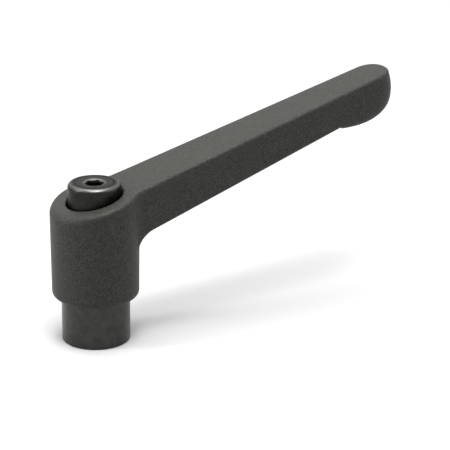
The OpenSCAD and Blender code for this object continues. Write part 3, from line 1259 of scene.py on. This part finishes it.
@dataclass
class SpringForm:
    """The spring under the screw's head, with one closed turn at each end."""

    wire_d: float = 0.8
    coil_d: float = 12.6
    coil_turns: float = 4.0
    end_share: float = 0.85
    turn_steps: int = 48
    wire_sides: int = 16
    crease_deg: float = 50.0
    lift: float = 5.4
    low: float = field(default_factory=lambda: node_box("spring")[0][2])
    high: float = field(default_factory=lambda: node_box("spring")[1][2])

    def middle_z(self, turns: Array) -> Array:
        """Works out the height of the wire's middle: a closed turn, an even climb, a closed turn.

        A closed turn rises by the wire's diameter, and the climb takes what is left of the height.

        Args:
            turns: Places along the wire, in turns.

        Returns:
            The height at each place.
        """
        active = self.coil_turns - 2
        climb = (self.high - self.low - 3 * self.wire_d) / active
        start = self.low + self.wire_d / 2
        closed = np.minimum(turns, 1) + np.maximum(0, turns - 1 - active)
        return start + self.wire_d * closed + climb * np.clip(turns - 1, 0, active)

    def wire(self) -> Array:
        """Works out the wire: a circle carried along the helix, shrunk to a point at both ends.

        Returns:
            The grid: rows along the wire, columns round it.
        """
        steps = int(self.coil_turns * self.turn_steps)
        turns = np.concatenate([[0, 0], even(0, self.coil_turns, steps), [self.coil_turns] * 2])
        share = np.concatenate([[0, self.end_share], np.ones(steps + 1), [self.end_share, 0]])
        size = share[:, None] * self.wire_d / 2
        side = (np.arange(self.wire_sides) * 2 * math.pi / self.wire_sides)[None, :]
        r = self.coil_d / 2 + size * np.cos(side)
        z = self.middle_z(turns)[:, None] + size * np.sin(side)
        return polar(r, 2 * math.pi * turns[:, None], z)

    def build(self, wire: Finish) -> bpy.types.Object:
        """Makes the spring's piece.

        Args:
            wire: The finish that it gets.

        Returns:
            The piece, dressed and riding on its body.
        """
        skin = Skin()
        skin.add(self.wire(), close=True)
        piece = skin.object("pressure_spring")
        crease(piece, self.crease_deg)
        wire.dress(piece)
        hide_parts("spring")
        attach(piece, "spring")
        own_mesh(piece)
        return piece


class LampShape(Enum):
    """Outline of a studio lamp."""

    SQUARE = "SQUARE"
    STRIP = "RECTANGLE"


@dataclass(frozen=True)
class Lamp:
    """An area lamp: its place, the point that it lights and its sides in metres, power in watts."""

    name: str
    place: Place
    target: Place
    size: Pair
    power: float
    shape: LampShape = LampShape.SQUARE

    def hang(self) -> bpy.types.Object:
        """Makes the lamp, pointed at its target.

        Returns:
            The lamp.
        """
        data = bpy.data.lights.new(self.name, "AREA")
        data.shape = self.shape.value
        data.size = self.size[0]
        if self.shape is LampShape.STRIP:
            data.size_y = self.size[1]
        data.energy = self.power
        lamp = bpy.data.objects.new(self.name, data)
        lamp.location = self.place
        aim = Vector(self.target) - Vector(self.place)
        lamp.rotation_euler = aim.to_track_quat("-Z", "Y").to_euler()
        bpy.context.scene.collection.objects.link(lamp)
        log.info("lamp %s", self.name)
        return lamp


@dataclass(frozen=True)
class View:
    """The photograph's camera: a direction from the lever, the way it looks, and its lens."""

    place_azimuth_deg: float = -28.47
    place_elevation_deg: float = 23.53
    distance_mm: float = 524.81
    look_azimuth_deg: float = -32.87
    look_elevation_deg: float = 19.99
    roll_deg: float = 0.718
    focal_px: float = 1800.0
    frame_px: float = 450.0
    sensor_mm: float = 36.0
    clip: Pair = (0.01, 20)

    @staticmethod
    def back(azimuth_deg: float, elevation_deg: float) -> Vector:
        """Returns the direction from the lever to a place at that azimuth and elevation."""
        a, e = math.radians(azimuth_deg), math.radians(elevation_deg)
        return Vector((math.sin(a) * math.cos(e), -math.cos(a) * math.cos(e), math.sin(e)))

    def make(self) -> bpy.types.Object:
        """Makes the camera and gives it to the scene.

        Returns:
            The camera.
        """
        data = bpy.data.cameras.new("photo_view")
        data.sensor_fit = "HORIZONTAL"
        data.sensor_width = self.sensor_mm
        data.lens = self.focal_px * self.sensor_mm / self.frame_px
        data.clip_start, data.clip_end = self.clip
        z = self.back(self.look_azimuth_deg, self.look_elevation_deg)
        x = Vector((0, 0, 1)).cross(z).normalized()
        y = z.cross(x)
        c, s = math.cos(math.radians(self.roll_deg)), math.sin(math.radians(self.roll_deg))
        right, up = c * x + s * y, c * y - s * x
        turn = Matrix((right, up, z)).transposed().to_4x4()
        place = self.back(self.place_azimuth_deg, self.place_elevation_deg) * self.distance_mm * MM
        camera = bpy.data.objects.new("photo_view", data)
        camera.matrix_world = Matrix.Translation(place) @ turn
        bpy.context.scene.collection.objects.link(camera)
        bpy.context.scene.camera = camera
        return camera


@dataclass
class Studio:
    """White surroundings, a floor that keeps the lever's shadow, and the lamps."""

    floor_size: float = 6.0
    floor_cells: int = 12
    floor_colour: float = 0.8
    floor_bounce: float = 0.4
    floor_glow: float = 0.08
    floor_roughness: float = 0.9
    floor_fade_mm: Pair = (350, 1600)
    air_light: float = 0.03
    lamps: tuple[Lamp, ...] = (
        Lamp("key", place=(-0.08, -0.3, 0.9), target=(0.03, 0, 0.03), size=(0.38, 0.38),
             power=5.0),
        Lamp("behind", place=(0.1, 0.35, 1.1), target=(0.03, 0, 0.03), size=(1.1, 1.1),
             power=5.6),
        Lamp("overhead", place=(0.03, 0.0, 1.1), target=(0.03, 0, 0.03), size=(0.6, 0.6),
             power=6.0),
        Lamp("left_strip", place=(-0.7, 0.25, 0.3), target=(0, 0, 0.04), size=(0.15, 0.9),
             power=3.6, shape=LampShape.STRIP),
        Lamp("right_front", place=(0.7, -0.45, 0.35), target=(0.02, 0, 0.04), size=(0.3, 0.6),
             power=0.6, shape=LampShape.STRIP),
    )

    def air(self) -> None:
        """Makes the world: white to the eye, and a weak even light on the lever."""
        world = bpy.data.worlds.new("white_surroundings")
        bpy.context.scene.world = world
        world.use_nodes = True
        n = Nodes(world.node_tree)
        background = n.tree.nodes["Background"]
        background.inputs["Color"].default_value = (1, 1, 1, 1)
        n.link(n.span(n.seen(), (0, 1), (self.air_light, 1)), background.inputs["Strength"])

    def white_floor(self) -> bpy.types.Material:
        """Makes the floor's material: white diffuse, lifted to white for what looks at it.

        To the eye it glows a little near the lever and fully far away, where no lamp reaches. For
        the light that it throws on the lever it is darker and doesn't glow.

        Returns:
            The material.
        """
        n = Surface("white_floor")
        n.shader.inputs["Roughness"].default_value = self.floor_roughness
        n.shader.inputs["Specular IOR Level"].default_value = 0.0
        n.shader.inputs["Emission Color"].default_value = (1, 1, 1, 1)
        seen = n.seen()
        glow = n.span(n.radius(), self.floor_fade_mm, (self.floor_glow, 1))
        tone = n.span(seen, (0, 1), (self.floor_bounce, self.floor_colour))
        n.link(n.math("MULTIPLY", seen, glow), n.shader.inputs["Emission Strength"])
        n.link(tone, n.shader.inputs["Base Color"])
        return n.material

    def floor(self) -> bpy.types.Object:
        """Makes the floor, a flat square sheet.

        Returns:
            The floor.
        """
        edge = even(-self.floor_size / 2, self.floor_size / 2, self.floor_cells)
        x, y = np.meshgrid(edge, edge, indexing="ij")
        skin = Skin()
        skin.add(np.stack([x, y, np.zeros_like(x)], axis=-1) / MM)
        floor = skin.object("floor")
        floor.data.materials.append(self.white_floor())
        return floor

    def set_up(self) -> None:
        """Sets the view transform and makes the surroundings, the floor and the lamps."""
        bpy.context.scene.view_settings.view_transform = "Standard"
        self.air()
        self.floor()
        for lamp in self.lamps:
            lamp.hang()


@dataclass
class ClampingLever:
    """The whole lever: its four pieces and their finishes."""

    handle: HandleForm = field(default_factory=HandleForm)
    insert: InsertForm = field(default_factory=InsertForm)
    screw: ScrewForm = field(default_factory=ScrewForm)
    spring: SpringForm = field(default_factory=SpringForm)
    coat: Finish = PowderCoat()
    insert_steel: Finish = BlackenedSteel("satin_black_insert")
    # The brighter rings on the head's rounded edge and the socket's bevel are partly wear and partly
    # a painted highlight in place of the lamps' glint.
    screw_steel: Finish = BlackenedSteel(
        "worn_and_highlit_black_screw", dark=(0.018, 0.019, 0.017), light=(0.029, 0.03, 0.027),
        metallic=1.0, edge_tint=0.76, wear_and_highlight_rings=((2.4, 3.45), (6.5, 7.35)), wear_and_highlight_above=46.4)
    wire: Finish = SpringWire()

    def build(self) -> list[bpy.types.Object]:
        """Builds the pieces in order and reports each.

        Returns:
            The pieces.
        """
        plan: tuple[tuple[str, Callable[[Finish], bpy.types.Object], Finish], ...] = (
            ("toothed insert", self.insert.build, self.insert_steel),
            ("pressure spring", self.spring.build, self.wire),
            ("retaining screw", self.screw.build, self.screw_steel),
            ("cast handle", self.handle.build, self.coat),
        )
        pieces = []
        for label, build, finish in plan:
            piece = build(finish)
            log.info("%s built as %s", label, piece.name)
            pieces.append(piece)
        return pieces


def main() -> None:
    """Builds the camera, the studio and the lever."""
    logging.basicConfig(level=logging.INFO, format="%(name)s: %(message)s")
    View().make()
    Studio().set_up()
    ClampingLever().build()


if __name__ == "__main__":
    main()
